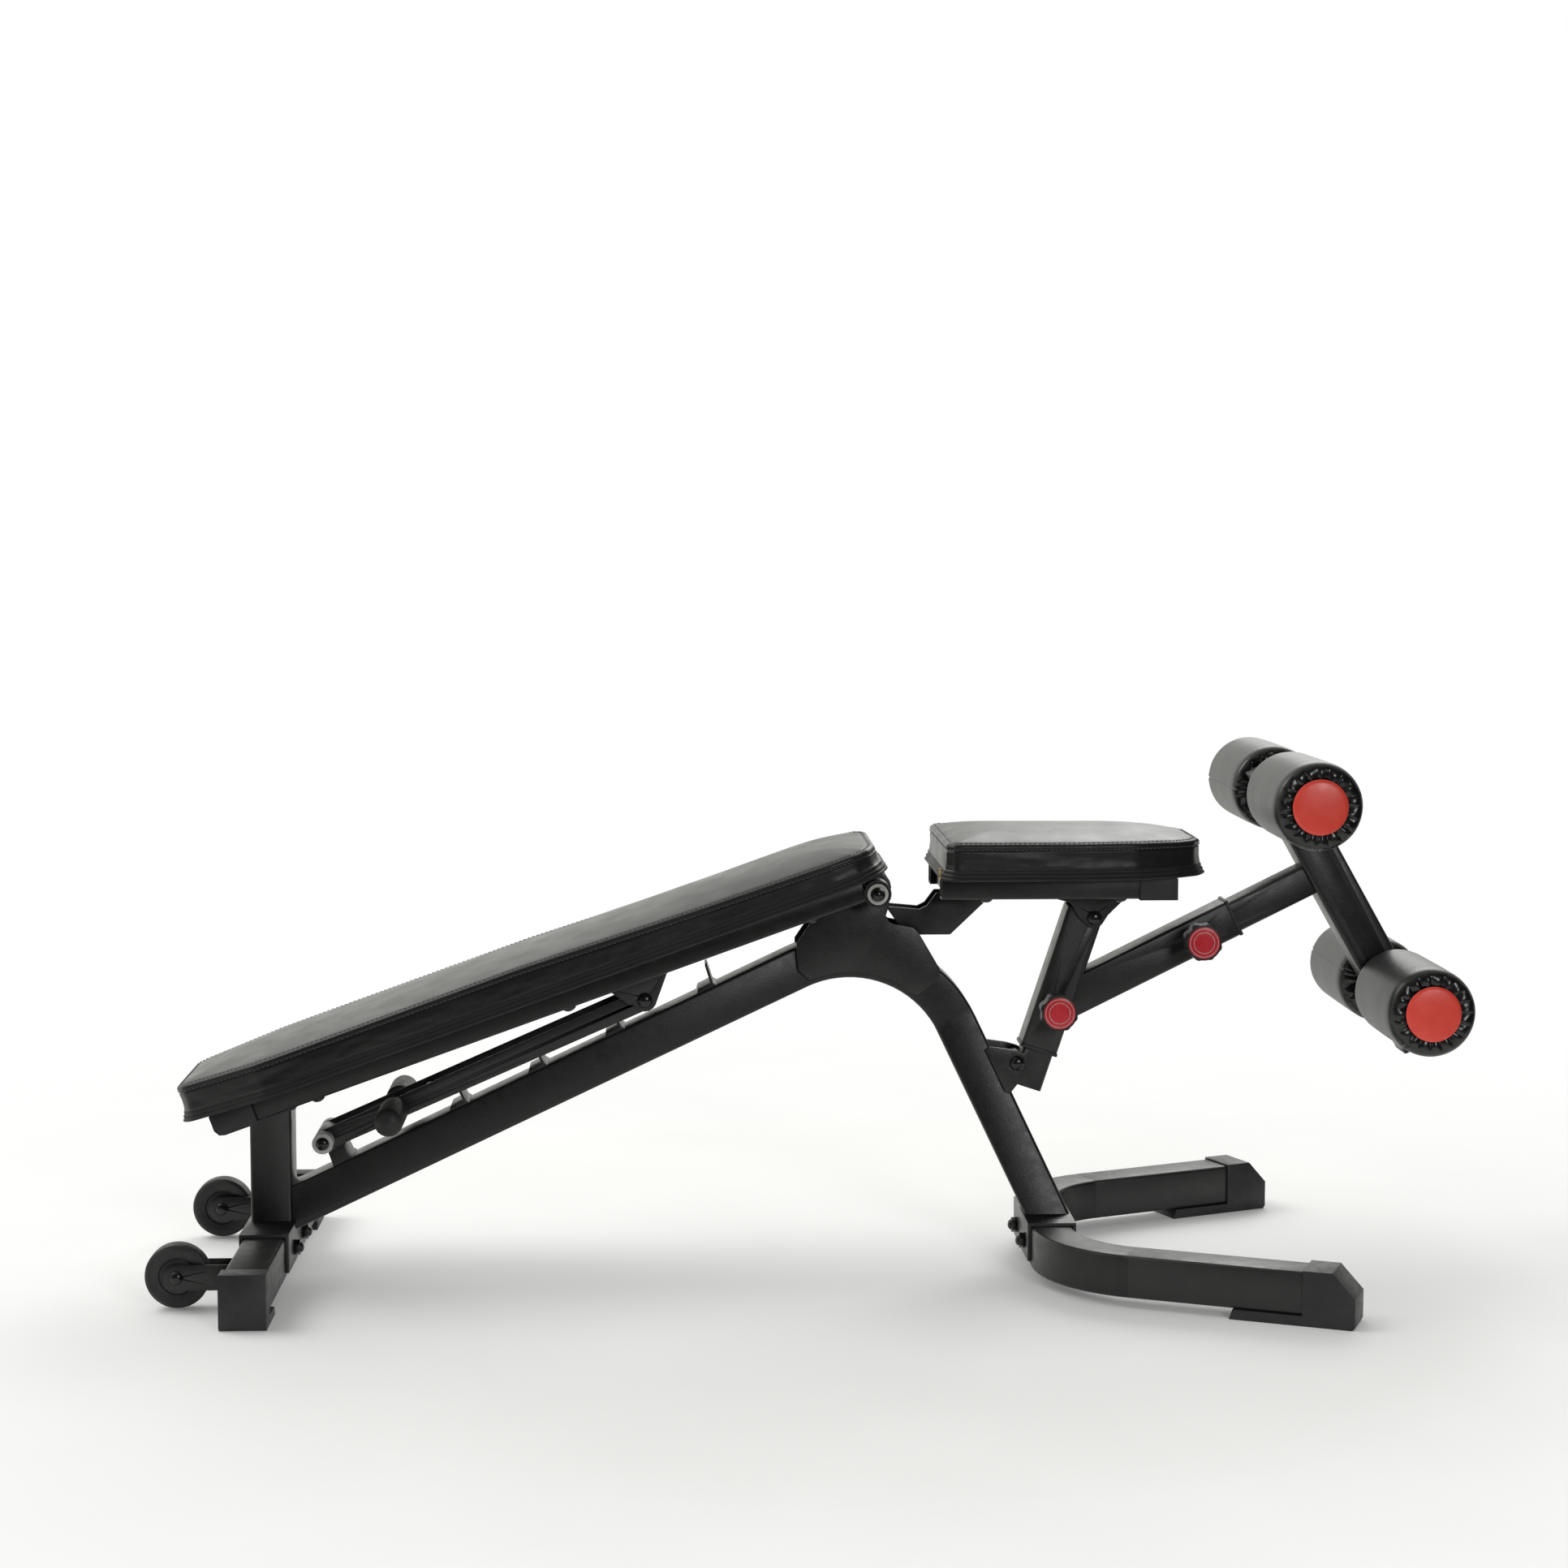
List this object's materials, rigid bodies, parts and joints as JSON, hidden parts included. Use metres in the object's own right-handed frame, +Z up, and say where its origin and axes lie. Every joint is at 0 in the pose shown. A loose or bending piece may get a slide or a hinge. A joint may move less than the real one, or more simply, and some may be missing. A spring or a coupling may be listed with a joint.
{
  "type": "decline sit up bench",
  "caption": "Adjustable decline sit up bench: bent steel frame, reclining back on a prop strut, tilting seat and a telescopic arm with foam leg rollers.",
  "frame": {"origin": "on the floor, on the centre plane, midway between the wheels and the foot rollers", "axes": "+X along the bench towards the foot rollers, +Y across it, +Z up"},
  "size_m": [1.5506, 0.6474, 0.6346],
  "materials": {
    "frame_paint": "matte black powder coat",
    "bushing_grey": "satin light grey",
    "black_bolts": "gloss black oxide",
    "zinc_steel": "bright zinc",
    "black_plastic": "fine moulded grain",
    "black_rubber": "matte",
    "wheel_rubber": "matte",
    "knob_plastic": "gloss, red face on a black body",
    "red_plastic": "satin coral red",
    "pad_vinyl": "black vinyl, soft sheen",
    "roller_vinyl": "black vinyl, soft sheen",
    "plywood": "plain"
  },
  "bodies": {
    "frame": {"main_frame": "frame_paint", "gusset_plates": "frame_paint", "ladder_catches": "frame_paint", "rest_bumper": "black_rubber", "hinge_axle": "bushing_grey", "hinge_end_bolts": "black_bolts", "rear_stabilizer": "frame_paint", "rear_end_caps": "black_plastic", "rear_bolts": "black_bolts", "wheel_brackets": "frame_paint", "wheel_axle_bolts": "black_bolts", "front_base": "frame_paint", "front_end_caps": "black_plastic", "front_bolts": "black_bolts", "support_bracket": "frame_paint", "support_pivot_bolt": "black_bolts"},
    "near_wheel": {"near_wheel_tyre": "wheel_rubber", "near_wheel_hub": "black_plastic"},
    "far_wheel": {"far_wheel_tyre": "wheel_rubber", "far_wheel_hub": "black_plastic"},
    "backrest": {"back_frame": "frame_paint", "back_frame_caps": "black_plastic", "back_board": "plywood", "back_pad": "pad_vinyl", "back_pad_bolts": "black_bolts", "strut_bracket": "frame_paint", "strut_pivot_bolt": "black_bolts"},
    "strut": {"strut_bars": "frame_paint", "strut_foot_tube": "bushing_grey", "strut_foot_bolts": "black_bolts", "handle_bar": "frame_paint", "handle_grips": "black_rubber"},
    "seat": {"seat_frame": "frame_paint", "seat_frame_caps": "black_plastic", "seat_board": "plywood", "seat_pad": "pad_vinyl", "seat_pad_bolts": "black_bolts", "seat_arms": "frame_paint", "seat_bracket": "frame_paint", "seat_pivot_bolt": "black_bolts"},
    "support": {"support_inner_tube": "frame_paint"},
    "carrier": {"support_outer_tube": "frame_paint", "support_sleeve": "black_plastic", "arm_outer_tube": "frame_paint", "arm_sleeve": "black_plastic", "pin_collars": "frame_paint", "pin_springs": "zinc_steel"},
    "roller_arm": {"arm_inner_tube": "frame_paint", "roller_post": "frame_paint", "post_plugs": "black_plastic", "roller_bars": "frame_paint", "roller_end_caps": "red_plastic"},
    "upper_near": {"upper_near_roller": "roller_vinyl"},
    "upper_far": {"upper_far_roller": "roller_vinyl"},
    "lower_near": {"lower_near_roller": "roller_vinyl"},
    "lower_far": {"lower_far_roller": "roller_vinyl"},
    "height_pin_body": {"height_pin": "zinc_steel"},
    "height_knob_body": {"height_knob": "knob_plastic"},
    "arm_pin_body": {"arm_pin": "zinc_steel"},
    "arm_knob_body": {"arm_knob": "knob_plastic"}
  },
  "joints": [
    {"name": "back_recline", "type": "hinge", "parent": "frame", "child": "backrest", "pos_m": [0.0836, 0, 0.4698], "axis": [0, 1, 0], "range_deg": [0, 98.6]},
    {"name": "strut_swing", "type": "hinge", "parent": "backrest", "child": "strut", "pos_m": [-0.193, 0, 0.3352], "axis": [0, -1, 0], "range_deg": [0, 148]},
    {"name": "seat_tilt", "type": "hinge", "parent": "frame", "child": "seat", "pos_m": [0.0836, 0, 0.4698], "axis": [0, -1, 0], "range_deg": [0, 15]},
    {"name": "support_swing", "type": "hinge", "parent": "frame", "child": "support", "pos_m": [0.2586, 0, 0.2542], "axis": [0, -1, 0], "range_deg": [0, 4.7]},
    {"name": "support_extend", "type": "slide", "parent": "support", "child": "carrier", "axis": [0.314, 0, 0.9494], "range_m": [0, 0.0657]},
    {"name": "arm_extend", "type": "slide", "parent": "carrier", "child": "roller_arm", "axis": [0.8957, 0, 0.4446], "range_m": [0, 0.1]},
    {"name": "upper_near_spin", "type": "hinge", "parent": "roller_arm", "child": "upper_near", "pos_m": [0.58341, 0, 0.58263], "axis": [0, 1, 0], "continuous": true},
    {"name": "upper_far_spin", "type": "hinge", "parent": "roller_arm", "child": "upper_far", "pos_m": [0.58341, 0, 0.58263], "axis": [0, 1, 0], "continuous": true},
    {"name": "lower_near_spin", "type": "hinge", "parent": "roller_arm", "child": "lower_near", "pos_m": [0.719, 0, 0.342], "axis": [0, 1, 0], "continuous": true},
    {"name": "lower_far_spin", "type": "hinge", "parent": "roller_arm", "child": "lower_far", "pos_m": [0.719, 0, 0.342], "axis": [0, 1, 0], "continuous": true},
    {"name": "height_pin_pull", "type": "slide", "parent": "carrier", "child": "height_pin_body", "axis": [0, -1, 0], "range_m": [0, 0.01]},
    {"name": "height_knob_turn", "type": "hinge", "parent": "height_pin_body", "child": "height_knob_body", "pos_m": [0.30391, 0, 0.32244], "axis": [0, 1, 0], "continuous": true},
    {"name": "arm_pin_pull", "type": "slide", "parent": "carrier", "child": "arm_pin_body", "axis": [0, -1, 0], "range_m": [0, 0.01]},
    {"name": "arm_knob_turn", "type": "hinge", "parent": "arm_pin_body", "child": "arm_knob_body", "pos_m": [0.47711, 0, 0.40671], "axis": [0, 1, 0], "continuous": true},
    {"name": "near_wheel_spin", "type": "hinge", "parent": "frame", "child": "near_wheel", "pos_m": [-0.7335, 0, 0.0396], "axis": [0, 1, 0], "continuous": true},
    {"name": "far_wheel_spin", "type": "hinge", "parent": "frame", "child": "far_wheel", "pos_m": [-0.7335, 0, 0.0396], "axis": [0, 1, 0], "continuous": true}
  ],
  "couplings": [
    {"joint": "strut_swing", "follows": "back_recline", "ratio": 1.4978},
    {"joint": "support_swing", "follows": "seat_tilt", "ratio": 0.3089},
    {"joint": "support_extend", "follows": "seat_tilt", "m_per_rad": 0.25054}
  ]
}
